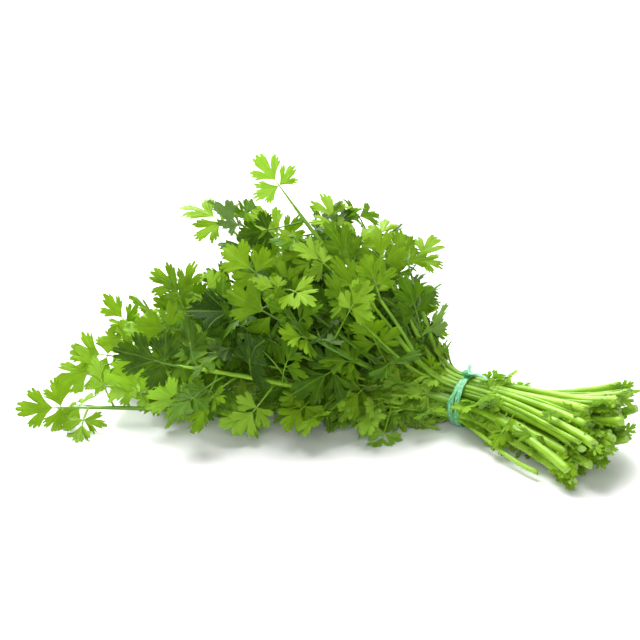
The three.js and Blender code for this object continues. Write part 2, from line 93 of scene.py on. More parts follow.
# ---- Cut ends ----
CUT_LENGTH = (70, 91)
CUT_LENGTH_LOSS = (0.14, 0.1)  # at the front and the back
CUT_SPREAD = (2.9, 1.35)  # growth of the bundle's width and height
SPREAD_POWER = 1.6
CUT_TILT = 0.42
CUT_TWIST = 16
CUT_DRIFT = -15

# ---- Foliage fan ----
FAN_AZIMUTH = (-37.5, 31)  # at the front and the back
FAN_RISE = (1, 54)  # of the lowest and the highest stems
FAN_JITTER = 2.6
RISE_POWER = 1.5
BUNCH_REACH = (215, 72)  # of the lowest and the highest stems
REACH_POWER = 0.85
SHORTEST_SHARE = (0.55, 0.8)  # of that, in the middle of the bundle and at its rim
FLARE_LENGTH = 36
LONG_STEMS = {1: 201, 2: 194, 5: 162, 6: 171, 19: 146, 22: 160, 29: 122, 35: 131}  # by number
TIP_ROLLS = {22: -48}
BOW = 8  # at 100 from the tie
BOW_VARIES = (0.2, 1.8)

# ---- Leaves ----
LEAFLET_RADIUS = (12.5, 18)
SMALL_RADIUS = (8, 12)
SIDE_SHARE = 0.84
SIDE_VARIES = (0.9, 1.05)
SIDE_STALK = (0.14, 0.24)  # of the end leaflet's radius
END_SHARE = 0.46
HALF_ANGLE = {"end": 60, "side": 48}
TILT = {"end": 14, "side": 26}  # to either side
CLEFT_DEPTH = {"end": (0.2, 0.4), "side": (0.18, 0.36)}
SIDE_LEAFLET_ANGLE = 77
BASE_NARROWING = 0.4
DROOP = (-0.05, 0.3)
FOLD = (0.02, 0.25)
CUP = 0.12
PETIOLE = {"small": (3, 9), "tip": (5, 9), "side": (12, 24)}
CURL = (0.004, 0.016)  # radians per millimetre
TIP_SPREAD = (0, 16)  # degrees from the stem
SIDE_SPREAD = (30, 62)
SIDE_SWING = 75  # round the stem
ROLL = 26
LEAF_TURNS = 14
TURN_LOOSENS = 0.16
TURN_SHRINKS = 0.018
LEAF_SPACING = 36
SPACING_LOSS = 8
CUT_LEAF_CLEAR = (12, 4)  # of the tie and of the cut end
TIE_LEAF_AT = (10, 34)
SMALL_AT_CUT = 6  # orders of the small leaves
SMALL_AT_TIE = 7
FACING = Vector((0, -0.38, 0.5))
FAN_MIDDLE = Vector((-1, 0, 0.3)).normalized()
SHEET_HALF_THICKNESS = 0.35
DEEPEST_FOLD = 9
CLEFT_AT = 0.37
LOBE_TIP = 0.68  # across a leaflet, where the outer lobes of the solids end
LOBE_TIP_REACH = 1 - 0.2 * LOBE_TIP**1.5  # and how far out
FOLIAGE_EDGE = (-16, 0.5)  # beside the tie: the foliage keeps x + slant y below x
SIDE_LEAF_CEILING = 104


def mix(low, high, share):
    return low + (high - low) * share


def draw(a, b=0, c=0, d=0):
    """A number from 0 to 1 that depends only on its keys, the last of which is each draw's own."""
    wave = sin(a * 12.9898 + b * 78.233 + c * 37.719 + d * 19.137) * 43758.5453
    return wave - math.floor(wave)


def between(low, high, *keys):
    return mix(low, high, draw(*keys))


def perpendicular(vector, to):
    return (vector - to * vector.dot(to)).normalized()


def turned(vector, axis, degrees):
    return Matrix.Rotation(radians(degrees), 3, axis) @ vector


# ---- Stems ----
def bundle_slots():
    """Places of the stems in the tie, in rows like stacked pencils, each from -1 to 1 across and up."""
    row_height = STEM_PITCH * math.sqrt(3) / 2
    rows = math.floor(BUNDLE_HALF_HEIGHT / row_height)
    columns = math.ceil(BUNDLE_HALF_WIDTH / STEM_PITCH)
    for row in range(-rows, rows + 1):
        for column in range(-columns, columns + 1):
            across = (column + (0.5 if row % 2 else 0)) * STEM_PITCH / BUNDLE_HALF_WIDTH
            up = row * row_height / BUNDLE_HALF_HEIGHT
            if hypot(across, up) < 1.01:
                yield across, up


def make_stem(across, up, index):
    height = (up + 1) / 2
    outerness = hypot(across, up)
    back = (across / math.sqrt(1.05 - up * up) + 1) / 2
    azimuth_jitter = between(-FAN_JITTER, FAN_JITTER, index, 1)
    rise_jitter = between(-FAN_JITTER, FAN_JITTER, index, 2)
    azimuth = radians(mix(*FAN_AZIMUTH, back) + azimuth_jitter)
    rise = radians(mix(*FAN_RISE, height**RISE_POWER) + rise_jitter * height)
    longest = mix(*BUNCH_REACH, height**REACH_POWER)
    drawn_length = longest * between(mix(*SHORTEST_SHARE, outerness), 1, index, 4)
    cut_loss = -across * CUT_LENGTH_LOSS[0] if across < 0 else across * CUT_LENGTH_LOSS[1]
    return SimpleNamespace(
        index=index,
        across=across,
        up=up,
        height=height,
        outerness=outerness,
        direction=Vector((-cos(azimuth), sin(azimuth), math.tan(rise))).normalized(),
        bow=BOW * height * between(*BOW_VARIES, index, 3),
        length=LONG_STEMS.get(index, drawn_length),
        cut=(1 - cut_loss) * between(*CUT_LENGTH, index, 5),
    )


def cut_side_point(stem, distance):
    """Towards the cut ends the bundle widens, turns a little and tilts."""
    grown = (distance / CUT_LENGTH[1]) ** SPREAD_POWER
    wide = BUNDLE_HALF_WIDTH * mix(1, CUT_SPREAD[0], grown)
    tall = BUNDLE_HALF_HEIGHT * mix(1, CUT_SPREAD[1], grown)
    tilt = CUT_TILT * grown
    twist = radians(CUT_TWIST) * grown
    y = wide * (stem.across * cos(twist) - stem.up * sin(twist))
    z = tall * (stem.across * sin(twist) + stem.up * cos(twist)) + tilt * y
    lift = hypot(tall, tilt * wide) - BUNDLE_HALF_HEIGHT
    return Vector((distance, CUT_DRIFT * grown + y, TIE_HEIGHT + lift + z))


def foliage_point(stem, distance):
    """In the foliage a stem bends evenly into its own direction, then runs on with a slight bow."""
    bent = distance**2 / (2 * FLARE_LENGTH) if distance < FLARE_LENGTH else distance - FLARE_LENGTH / 2
    y = stem.across * BUNDLE_HALF_WIDTH
    z = TIE_HEIGHT + stem.up * BUNDLE_HALF_HEIGHT + stem.bow * (distance / 100) ** 2
    return Vector((bent - distance, y, z)) + stem.direction * bent


def stem_point(stem, distance):
    return cut_side_point(stem, -distance) if distance < 0 else foliage_point(stem, distance)


def stem_tangent(stem, distance):
    return (stem_point(stem, distance + 0.5) - stem_point(stem, distance - 0.5)).normalized()


def stem_radius(stem, distance):
    if distance < 0:
        return mix(STEM_RADIUS_TIED, STEM_RADIUS_CUT, -distance / stem.cut)
    return mix(STEM_RADIUS_TIED, STEM_RADIUS_TIP, distance / stem.length)


# ---- Leaf placing ----
def outward(point):
    """The way out of the bunch: away from the middle line of the fan, turned up and to the front."""
    radial = perpendicular(point - Vector((0, 0, TIE_HEIGHT)), FAN_MIDDLE)
    radial.z = max(radial.z, 0)
    return (radial + FACING).normalized()


def leaf_distance(stem, order):
    """The leaf at the tip is order 0, the next ones follow towards the tie, the small ones are last."""
    if order == 0:
        return stem.length - 3
    if order == SMALL_AT_CUT:
        return -between(CUT_LEAF_CLEAR[0], stem.cut - CUT_LEAF_CLEAR[1], stem.index, 31)
    if order == SMALL_AT_TIE:
        return between(*TIE_LEAF_AT, stem.index, 32)
    return stem.length - order * LEAF_SPACING - between(0, SPACING_LOSS, stem.index, order, 21)


def aimed_leaf(tangent, facing, swing, away, roll, **rest):
    """A leaf that leans away from tangent, to the side of swing, with its upper side to facing."""
    sideways = turned(perpendicular(facing, tangent), tangent, swing)
    forward = tangent * cos(away) + sideways * sin(away)
    normal = turned(perpendicular(facing, forward), forward, roll)
    return SimpleNamespace(forward=forward, normal=normal, **rest)


def pose_leaf(stem, order, turn):
    """A leaf of a stem in one of the ways in which it may turn. Later turns are looser and smaller."""
    key = stem.index * 10 + order
    loose = 1 + turn * TURN_LOOSENS
    tip = order == 0
    small = order >= SMALL_AT_CUT
    distance = leaf_distance(stem, order)
    origin = stem_point(stem, distance)
    tangent = stem_tangent(stem, distance) * (-1 if small and draw(key, 29) < 0.5 else 1)
    if tip:
        swing = between(-180, 180, key, turn, 22)
        away = radians(between(*TIP_SPREAD, key, turn, 24) * loose)
    else:
        swing = between(-SIDE_SWING, SIDE_SWING, key, turn, 22) * min(loose, 2)
        away = radians(between(*SIDE_SPREAD, key, turn, 24))
    roll = between(-ROLL, ROLL, key, turn, 25) * loose + (TIP_ROLLS.get(stem.index, 0) if tip else 0)
    radius = between(*(SMALL_RADIUS if small else LEAFLET_RADIUS), key, 28)
    return aimed_leaf(
        tangent,
        outward(origin),
        swing,
        away,
        roll,
        key=key,
        small=small,
        origin=origin,
        distance=distance,
        curl=between(*CURL, key, turn, 26),
        petiole=between(*PETIOLE["small" if small else "tip" if tip else "side"], key, 27),
        radius=radius * (1 - TURN_SHRINKS * turn),
    )


def rachis_at(leaf, distance):
    """Point, forward, normal and right-hand directions of the leaf's middle line, which is an arc."""
    turn = leaf.curl * distance
    forward = leaf.forward * cos(turn) - leaf.normal * sin(turn)
    normal = leaf.normal * cos(turn) + leaf.forward * sin(turn)
    ahead = sin(turn) / leaf.curl
    down = (cos(turn) - 1) / leaf.curl
    point = leaf.origin + leaf.forward * ahead + leaf.normal * down
    return point, forward, normal, forward.cross(normal)


def sides_of(leaf):
    """The leaflets of a leaf: 0 at its end, 1 on its right and -1 on its left."""
    return (0,) if leaf.small else (0, 1, -1)


def make_leaflet(leaf, side):
    kind = "side" if side else "end"

    def drawn(low, high, key):
        return between(low, high, leaf.key, side + 2, key)

    at = leaf.petiole + (0 if side or leaf.small else leaf.radius * END_SHARE)
    point, forward, normal, right = rachis_at(leaf, at)
    angle = radians(SIDE_LEAFLET_ANGLE if side else 0)
    tilt = radians(drawn(-TILT[kind], TILT[kind], 13))
    rib = forward * cos(angle) + right * (side * sin(angle))
    face = normal * cos(tilt) + rib.cross(normal) * sin(tilt)
    return SimpleNamespace(
        side=side,
        kind=kind,
        key=leaf.key * 5 + side + 2,
        at=at,
        base=point,
        rib=rib,
        face=face,
        across=rib.cross(face),
        stalk=leaf.radius * drawn(*SIDE_STALK, 11) if side else 0,
        radius=leaf.radius * SIDE_SHARE * drawn(*SIDE_VARIES, 12) if side else leaf.radius,
        half_angle=radians(HALF_ANGLE[kind]),
        droop=drawn(*DROOP, 14),
        fold=drawn(*FOLD, 15),
        cleft=drawn(*CLEFT_DEPTH[kind], 16),
    )


def leaflet_point(leaflet, side, share, lift=0.0):
    """A point of a leaflet's curved surface: side from -1 to 1 across its fan, share along its radius."""
    angle = side * leaflet.half_angle * (1 - BASE_NARROWING * (1 - share))
    along = share * leaflet.radius * cos(angle)
    sideways = share * leaflet.radius * sin(angle)
    rounding = 0.1 * leaflet.radius
    rise = leaflet.fold * (hypot(sideways, rounding) - rounding)
    fall = (leaflet.droop * along**2 + CUP * sideways**2) / leaflet.radius
    return (
        leaflet.base
        + leaflet.rib * (leaflet.stalk + along)
        + leaflet.across * sideways
        + leaflet.face * (rise - fall + lift)
    )


def rested(point, clear):
    """Lifts a point to where it clears the table, and returns it."""
    point.z = max(point.z, clear)
    return point


# ---- Which leaves the solids have ----
def corner_tree(node):
    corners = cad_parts[node].data.vertices
    tree = kdtree.KDTree(len(corners))
    for i, corner in enumerate(corners):
        tree.insert(corner.co / MM, i)
    tree.balance()
    return tree


def fits(leaf, tree):
    """True if the solid has corners at the lobe tips that this leaf would have."""
    for side in sides_of(leaf):
        leaflet = make_leaflet(leaf, side)
        for across in (LOBE_TIP, -LOBE_TIP):
            tip = rested(leaflet_point(leaflet, across, LOBE_TIP_REACH), SHEET_HALF_THICKNESS)
            if tree.find(tip)[2] > SHEET_HALF_THICKNESS + 0.1:
                return False
    return True


def leaves_of_solid(stem):
    tree = corner_tree(f"sprig_{stem.index:02d}")
    for order in range(SMALL_AT_TIE + 1):
        if 0 < order < SMALL_AT_CUT and stem.length - order * LEAF_SPACING <= FLARE_LENGTH:
            continue
        for turn in range(LEAF_TURNS):
            leaf = pose_leaf(stem, order, turn)
            if fits(leaf, tree):
                yield leaf
                break


# ---- More leaves than the solids carry, which fill the bunch ----
def leaf_kind(petiole, radius, spread, single=False):
    """How leaves are drawn. Spread is the angle from the stem, and half of a single kind has one leaflet."""
    return SimpleNamespace(petiole=petiole, radius=radius, spread=spread, single=single)


FILL_KEYS = 1000  # keys of leaves that the solids don't have
FILL_FROM = (9, 96)  # from the tie, along the lowest and the highest stems
FILL_FROM_POWER = 2.3
FILL_CLEAR = (5, 6)  # of other leaves, and of the stem's end
FILL_PETIOLE = (8, 26)
FILL_SPREAD = (20, 80)
FILL_SWING, FILL_ROLL = 130, 60  # to either side
FILL_CURL = (0.004, 0.026)
FILL_TURNS = 5
FILL_GROWTH = (0.78, 1.3)  # of the leaves' size, at the tie and at 160 from it
SPACING_VARIES = (0.6, 1.3)
DENSE_TO, DENSE_SPACING = 60, 0.7  # up to there, the spacing is multiplied by this
CUT_STEM_LEAF = leaf_kind((2, 6), (4.5, 7.5), (30, 100), single=True)
CUT_STEM_FROM = (12, 34)  # from the tie
CUT_STEM_SPACING = 20
CUT_SPACING_VARIES = (0.6, 1.2)
TIE_LEAF = leaf_kind((2, 7), (5, 9), (10, 55))
TIE_TUFT = (-16, 56)  # from the tie, where leaves grow close to it
CUT_END_LEAF = leaf_kind((1, 4), (3.4, 6), (5, 42), single=True)
CUT_END_TUFT = (1, 16)  # from a stem's cut end
COMPANION_LEAF = leaf_kind((4, 9), (10, 14), (0, 30))
# Share of the places that carry a leaf: along the cut stems, close to the tie, at the cut ends.
CUT_STEM_CHANCE, TIE_CHANCE, CUT_END_CHANCE = 0.45, 0.7, 0.75
# Outerness above which stems have leaves along the cut side, and tufts.
LEAFY_CUT_STEM, TUFTED_STEM = 0.7, 0.25
# Numbers of a stem's filling leaves, for their keys. The first two count up from here.
FOLIAGE_NUMBER, CUT_STEM_NUMBER, COMPANION_NUMBER = 10, 60, 99
TIE_NUMBERS, CUT_END_NUMBERS = range(70, 78), range(80, 86)
FOLIAGE_SLACK = 7  # outside the box of the solids
CUT_SLACK = 1  # outside it, among the cut stems
EDGE_SLACK = 6  # in front of the foliage edge
LEVEL_BELOW = 75  # height under which leaves lie more and more level


def facing_of(origin):
    """The way that the upper side of a filling leaf faces, before it turns."""
    level = max(0, 1 - origin.z / LEVEL_BELOW)
    return (outward(origin) + UP * (2.4 * level)).normalized()


def corners_of(leaf):
    """Points that show how far a leaf reaches."""
    for side in sides_of(leaf):
        leaflet = make_leaflet(leaf, side)
        for across in (-0.7, 0, 0.7):
            yield leaflet_point(leaflet, across, 1)


def is_inside(leaf):
    low, high = (corner / MM for corner in CAD_BOX)
    in_foliage = leaf.distance > 0
    slack = FOLIAGE_SLACK if in_foliage else CUT_SLACK
    for p in corners_of(leaf):
        if p.z < -DEEPEST_FOLD or p.z > SIDE_LEAF_CEILING:
            return False
        if in_foliage and p.x + FOLIAGE_EDGE[1] * p.y > FOLIAGE_EDGE[0] + EDGE_SLACK:
            return False
        if not (low.x - slack < p.x < high.x + slack and low.y - slack < p.y < high.y + slack):
            return False
    return True


def loose_leaf(stem, number, origin, tangent, distance, kind):
    """A leaf at origin on something that runs along tangent, if it stays in the bunch's box, or None."""
    key = stem.index * 100 + number
    for turn in range(FILL_TURNS):
        leaf = aimed_leaf(
            tangent,
            facing_of(origin),
            swing=between(-FILL_SWING, FILL_SWING, key, turn, 41),
            away=radians(between(*kind.spread, key, turn, 42)),
            roll=between(-FILL_ROLL, FILL_ROLL, key, turn, 43),
            key=key + FILL_KEYS,
            small=kind.single and key % 2 == 0,
            origin=origin,
            distance=distance,
            curl=between(*FILL_CURL, key, turn, 44),
            petiole=between(*kind.petiole, key, 45),
            radius=between(*kind.radius, key, 46),
        )
        if is_inside(leaf):
            return leaf
    return None


def fill_leaf(stem, number, distance, kind):
    tangent = stem_tangent(stem, distance) * (1 if distance > 0 else -1)
    return loose_leaf(stem, number, stem_point(stem, distance), tangent, distance, kind)


def foliage_leaves(stem, taken, settings):
    """Leaves all along a stem, apart from the places that are taken. The highest stems start bare."""
    spacing = settings.spacing / MM
    distance = mix(*FILL_FROM, stem.height**FILL_FROM_POWER) + between(0, spacing, stem.index, 47)
    number = FOLIAGE_NUMBER
    while distance < stem.length - FILL_CLEAR[1]:
        number += 1
        if all(abs(distance - leaf.distance) > FILL_CLEAR[0] for leaf in taken):
            grown = mix(*FILL_GROWTH, min(1, distance / 160))
            radius = (settings.smallest / MM * grown, settings.largest / MM * grown)
            yield fill_leaf(stem, number, distance, leaf_kind(FILL_PETIOLE, radius, FILL_SPREAD))
        dense = DENSE_SPACING if distance < DENSE_TO else 1
        distance += spacing * dense * between(*SPACING_VARIES, stem.index, number, 48)


def cut_stem_leaves(stem):
    """A few small leaves between the tie and the cut ends of the outer stems."""
    number = CUT_STEM_NUMBER
    distance = -between(*CUT_STEM_FROM, stem.index, 49)
    while distance > -stem.cut + CUT_END_TUFT[1]:
        number += 1
        if draw(stem.index, number, 50) < CUT_STEM_CHANCE:
            yield fill_leaf(stem, number, distance, CUT_STEM_LEAF)
        distance -= CUT_STEM_SPACING * between(*CUT_SPACING_VARIES, stem.index, number, 51)


def tuft_leaves(stem):
    """Small leaves close to the tie, and among the cut ends."""
    for number in TIE_NUMBERS:
        distance = between(*TIE_TUFT, stem.index, number, 54)
        if abs(distance) > 4 and draw(stem.index, number, 55) < TIE_CHANCE:
            yield fill_leaf(stem, number, distance, TIE_LEAF)
    for number in CUT_END_NUMBERS:
        distance = between(*CUT_END_TUFT, stem.index, number, 52) - stem.cut
        if draw(stem.index, number, 53) < CUT_END_CHANCE:
            yield fill_leaf(stem, number, distance, CUT_END_LEAF)


def fill_leaves(stem, taken, settings):
    leaves = [*foliage_leaves(stem, taken, settings)]
    if stem.outerness > LEAFY_CUT_STEM:
        leaves += cut_stem_leaves(stem)
    if stem.outerness > TUFTED_STEM:
        leaves += tuft_leaves(stem)
    return [leaf for leaf in leaves if leaf]


# ---- How light a leaf is: painted shade in the middle of the bunch and painted light around it ----
SHADED_MIDDLE = Vector((-90, -34, 34))  # of the darkest painted shade, in the middle of the bunch
LIT_DISTANCE = 90  # from there, over which painted shade gives way to painted light
CUT_SIDE = -20  # leaves beyond it are among the cut stems
CUT_SIDE_TONE = (0.42, 0.95)  # of the leaves there
TOWARDS_TIE = (0.35, 1.6)  # how fast the painted light grows towards the tie, low down and high up
TOWARDS_FRONT = 0.45  # how fast the painted light grows to the front and to the back
LOW_LEAF = 38  # height below which leaves get painted light again, as if lit from the table
HIGH_LEAF = 110
LIT_SHARE, HIGH_SHARE, LOW_SHARE = 0.7, 0.3, 1.3  # of the tone: painted light away from the shaded middle, high up and low down
LIGHTEST = (1, 0.6)  # caps of the painted light, towards the tie and at the far tips
VARIED = (0.18, 0.46)  # by how much the lowest and the highest leaves differ


def leaf_painted_light_and_tone(leaf):
    """How light a leaf is, mostly from 0 to 1. Painted shade darkens the middle of the bunch, and painted
    light makes leaves lighter far out, on top and near the table. A random tone comes on top. Leaves among
    the cut stems get only a random tone.
    """
    place = leaf.origin + leaf.forward * leaf.petiole
    if leaf.distance < CUT_SIDE:
        return between(*CUT_SIDE_TONE, leaf.key, 71)
    high = min(1, max(0, place.z) / HIGH_LEAF)
    low = max(0, 1 - place.z / LOW_LEAF)
    away = place - SHADED_MIDDLE
    far = min(1, max(0, -away.x) / LIT_DISTANCE)
    away.x *= 1 if away.x < 0 else mix(*TOWARDS_TIE, high)
    lit = min(1, hypot(away.x, TOWARDS_FRONT * away.y, away.z) / LIT_DISTANCE)
    light = LIT_SHARE * lit**2 + HIGH_SHARE * high + LOW_SHARE * low
    return min(mix(*LIGHTEST, far), light) + between(-1, 1, leaf.key, 71) * mix(*VARIED, high)


# ---- Meshes ----
UPPER, UNDERSIDE, STALK = 0, 1, 2
TONE, CUT = "tone", "cut"


def new_mesh():
    bm = bmesh.new()
    bm.loops.layers.uv.new("surface")
    bm.verts.layers.float.new(TONE)
    bm.verts.layers.float.new(CUT)
    return bm


def faces_at(corners):
    return list({face for corner in corners for face in corner.link_faces})


def grid_sheet(bm, columns, rows, height, material):
    """A grid whose corner in column i and row j lies at (i, j, height)."""
    made = bmesh.ops.create_grid(bm, x_segments=columns, y_segments=rows, size=0.5, calc_uvs=True)["verts"]
    to_places = Matrix.Translation((columns / 2, rows / 2, height)) @ Matrix.Diagonal((columns, rows, 1, 1))
    bmesh.ops.transform(bm, matrix=to_places, verts=made)
    for face in faces_at(made):
        face.material_index = material
        face.smooth = True
    return made


def kept_mesh(bm, name):
    mesh = bpy.data.meshes.new(name)
    bm.to_mesh(mesh)
    bm.free()
    return mesh


def linked(name, data):
    """A new object in the scene."""
    made = bpy.data.objects.new(name, data)
    bpy.context.scene.collection.objects.link(made)
    return made


def blade_pattern(columns, rows):
    """A thin pad of two grids that share a sharp margin. Its heights are 1 and -1, and 0 at the margin."""
    bm = new_mesh()
    grid_sheet(bm, columns, rows, 1, UPPER)
    under = grid_sheet(bm, columns, rows, -1, UNDERSIDE)
    bmesh.ops.reverse_faces(bm, faces=faces_at(under))
    for corner in bm.verts:
        if corner.is_boundary:
            corner.co.z = 0
    bmesh.ops.remove_doubles(bm, verts=bm.verts, dist=0.001)
    for edge in bm.edges:
        edge.smooth = len({face.material_index for face in edge.link_faces}) == 1
    return kept_mesh(bm, "blade_pattern")


def tube_pattern(columns, rows):
    """A grid that place() will roll up into a tube."""
    bm = new_mesh()
    grid_sheet(bm, columns, rows, 0, STALK)
    return kept_mesh(bm, "tube_pattern")


PATTERNS = {}


def grow(bm, pattern, columns, rows, place, tone):
    """Adds a copy of a pattern, and moves its corner (i, j, height) to place(i, j, height)."""
    shape = PATTERNS.get((pattern, columns, rows))
    if not shape:
        shape = PATTERNS[pattern, columns, rows] = pattern(columns, rows)
    before = len(bm.verts)
    bm.from_mesh(shape)
    bm.verts.ensure_lookup_table()
    tones = bm.verts.layers.float[TONE]
    made = bm.verts[before:]
    for corner in made:
        i, j, height = (round(value) for value in corner.co)
        corner.co = place(i, j, height)
        corner[tones] = tone
    return made


# ---- Leaflets ----
FINE_LEAFLET = 10.5  # radius above which a leaflet that the solids have too gets more faces
OUTER_TEETH = {True: 4, False: 3}  # of each outer lobe, by fine or not
MIDDLE_TEETH = {True: 5, False: 3}
# Corners of a tooth from its notch: share of its width, and of its height.
TOOTH = {
    True: ((0, 0), (0.2, 0.82), (0.5, 1), (0.8, 0.82)),
    False: ((0, 0), (0.28, 0.95), (0.72, 0.95)),
}
NOTCH_DEPTH = (0.09, 0.19)
CROWN_HEIGHT = (-0.02, 0.06)
LEAFLET_ROWS = {True: (0, 0.42, 0.78, 1), False: (0, 0.6, 1)}
LEAF_HALF_THICKNESS = 0.14
BLADE_HALF_ANGLE = {"end": 68, "side": 60}
CLEFT_HALF_WIDTH = 0.12
CLEFT_VARIES = (0.8, 1.75)
OUTER_LOBE_AT = 0.62
OUTER_LOBE_HALF_WIDTH = 0.34
BASE_HALF_WIDTH = 0.5


def fuller(leaf, leaflet):
    """Moves a leaflet's base towards the middle of its leaf, with its tip left in place."""
    if leaflet.side:
        gained = 0.65 * leaflet.stalk
        leaflet.stalk -= gained
    else:
        gained = 0 if leaf.small else 0.16 * leaflet.radius
        leaflet.base = rachis_at(leaf, leaflet.at - gained)[0]
        leaflet.at -= gained
    leaflet.radius += gained
    leaflet.half_angle = radians(BLADE_HALF_ANGLE[leaflet.kind])
    return leaflet


def tooth_edges(fine):
    """Where the notches between the teeth are, from -1 to 1."""
    outer_teeth, middle_teeth = OUTER_TEETH[fine], MIDDLE_TEETH[fine]
    outer = [1 - (1 - CLEFT_AT) * k / outer_teeth for k in range(outer_teeth)]
    middle = [CLEFT_AT - 2 * CLEFT_AT * k / middle_teeth for k in range(middle_teeth + 1)]
    return [-side for side in outer] + [-side for side in middle] + list(reversed(outer))


def margin_reach(leaflet, side):
    """Distance of the margin from the base, without its teeth, as a share of the radius."""
    away = abs(side)
    lobe = away / CLEFT_AT if away < CLEFT_AT else (away - OUTER_LOBE_AT) / OUTER_LOBE_HALF_WIDTH
    depth = leaflet.cleft * between(*CLEFT_VARIES, leaflet.key, 64)
    cleft = max(0, 1 - abs(away - CLEFT_AT) / CLEFT_HALF_WIDTH) ** 0.7
    return (1.03 - 0.36 * away**1.5) * (1 - 0.1 * lobe**2) * (1 - depth * cleft)


def leaflet_outline(leaflet, fine):
    """The cut margin: a list of (side, reach) through the notches and crowns of the rounded teeth."""
    edges = tooth_edges(fine)
    outline = []
    for tooth, (start, end) in enumerate(zip(edges, edges[1:])):
        notch = between(*NOTCH_DEPTH, leaflet.key, tooth, 61)
        crown = between(*CROWN_HEIGHT, leaflet.key, tooth, 62)
        for across, height in TOOTH[fine]:
            side = mix(start, end, across)
            outline.append((side, margin_reach(leaflet, side) * mix(1 - notch, 1 + crown, height)))
    outline.append((1, margin_reach(leaflet, 1) * 0.88))
    return outline


def ripple(leaflet, side, share):
    """Rise of the surface at a place: its lobes are domed, and its margin is wavy."""
    away = abs(side)
    lobe = 0 if away < CLEFT_AT else LOBE_TIP
    dome = -0.7 * ((away - lobe) / 0.35) ** 2 * share
    place = Vector((side * 1.7, share * 1.6, leaflet.key * 0.37))
    wave = noise.noise(place) * 0.24 * leaflet.radius * share
    droop = -0.08 * leaflet.radius * share**3 * between(0, 1, leaflet.key, 1 if side > 0 else 2, 63)
    return dome + wave + droop


def grow_leaflet(bm, leaf, side, tone):
    leaflet = fuller(leaf, make_leaflet(leaf, side))
    fine = leaflet.radius > FINE_LEAFLET and leaf.key < FILL_KEYS
    outline = leaflet_outline(leaflet, fine)
    rows = LEAFLET_ROWS[fine]

    def middle(i, j):
        across, reach = outline[i]
        share = rows[j] * reach
        p = leaflet_point(leaflet, across, share, ripple(leaflet, across, share))
        return p + leaflet.across * (across * BASE_HALF_WIDTH * (1 - rows[j]))

    surface = [[middle(i, j) for j in range(len(rows))] for i in range(len(outline))]

    def place(i, j, height):
        p = rested(surface[i][j], 2 * LEAF_HALF_THICKNESS)
        return p + leaflet.face * (LEAF_HALF_THICKNESS * height)

    grow(bm, blade_pattern, len(outline) - 1, len(rows) - 1, place, tone)
    return leaflet


# ---- Tubes ----
CAP_SHARES = (0, 0.55, 0.9)


def grow_tube(bm, points, radii, sides, tone, slant=None):
    """A closed tube through points. Given a slant, its first end is a cut, which leans by that much."""
    caps = (0,) if slant is None else CAP_SHARES
    rings = [(points[0], radii[0] * share) for share in caps] + list(zip(points, radii)) + [(points[-1], 0)]
    normal = UP
    corners = []
    for k, (middle, radius) in enumerate(rings):
        station = min(max(k - len(caps), 0), len(points) - 1)
        ahead = points[min(station + 1, len(points) - 1)]
        tangent = (ahead - points[max(station - 1, 0)]).normalized()
        normal = perpendicular(normal, tangent)
        side = tangent.cross(normal)
        lean = (slant or 0) if k <= len(caps) else 0
        ring = []
        for i in range(sides + 1):
            angle = 2 * pi * (i % sides) / sides
            out = normal * cos(angle) + side * sin(angle)
            ring.append(middle + (out + tangent * (lean * sin(angle + tone * 9))) * radius)
        corners.append(ring)
    made = grow(bm, tube_pattern, sides, len(rings) - 1, lambda i, j, height: corners[j][i], tone)
    if slant is not None:
        cuts = bm.verts.layers.float[CUT]
        for corner in made:
            corner[cuts] = 1 if (corner.co - points[0]).length < radii[0] * 0.95 else 0


def wandering(stem, distance, key):
    """Sideways drift of a stem, none in the tie and most at its cut end."""
    loose = min(1, abs(distance) / 60) if distance < 0 else min(1, distance / 90) * 0.6
    seed = stem.index * 3.7 + key * 11.3
    y, z = (noise.noise(Vector((distance * 0.022, seed, row))) for row in (0, 5))
    return Vector((0, y, z)) * (2 * stem.drift * loose)


SIDES = {"stem": 10, "companion": 8, "petiole": 6, "stalk": 5}
JOINT_SWELLING = 0.22  # of the radius, where a leaf grows
TIP_TAPER = (0.5, 1.04)  # of the radius, at the tip and 18 before it


def grow_stem(bm, stem, leaves, tone):
    stations = [-stem.cut, -stem.cut + 3]
    while stations[-1] < stem.length - 8:
        stations.append(stations[-1] + 7)
    stations.append(stem.length)
    joints = [leaf.distance for leaf in leaves]

    def swelling(distance):
        nearness = (math.exp(-(((distance - joint) / 3) ** 2)) for joint in joints)
        return 1 + JOINT_SWELLING * max(nearness, default=0)

    points = [stem_point(stem, distance) + wandering(stem, distance, 1) for distance in stations]
    tapers = [mix(*TIP_TAPER, min(1, (stem.length - distance) / 18)) for distance in stations]
    radii = [stem_radius(stem, d) * swelling(d) * taper for d, taper in zip(stations, tapers)]
    points = [rested(p, radius) for p, radius in zip(points, radii)]
    grow_tube(bm, points, radii, SIDES["stem"], tone, between(0, 0.7, stem.index, 73))


COMPANION_REACH = (12, 60)  # into the foliage
# Stem number: reach of a companion that comes out of the foliage.
LONG_COMPANIONS = {11: 118, 18: 96, 20: 96, 25: 84, 26: 100, 27: 88, 33: 74, 34: 92, 38: 70}
COMPANION_OFFSET = (1.7, 4.2)  # from its stem, in the tie and at the longest cut end
COMPANION_TURN = 70  # degrees round its stem
COMPANION_CUT = (0.72, 0.99)  # of its stem's cut length
COMPANION_RADIUS = (0.8, 1.35)
LONG_COMPANION_RISE = 15  # out of the foliage, at its far end
LOOSE_COMPANIONS = {10: 8, 1: 3}  # stem number: bow out of the cut stems
COMPANION_STEPS = 18


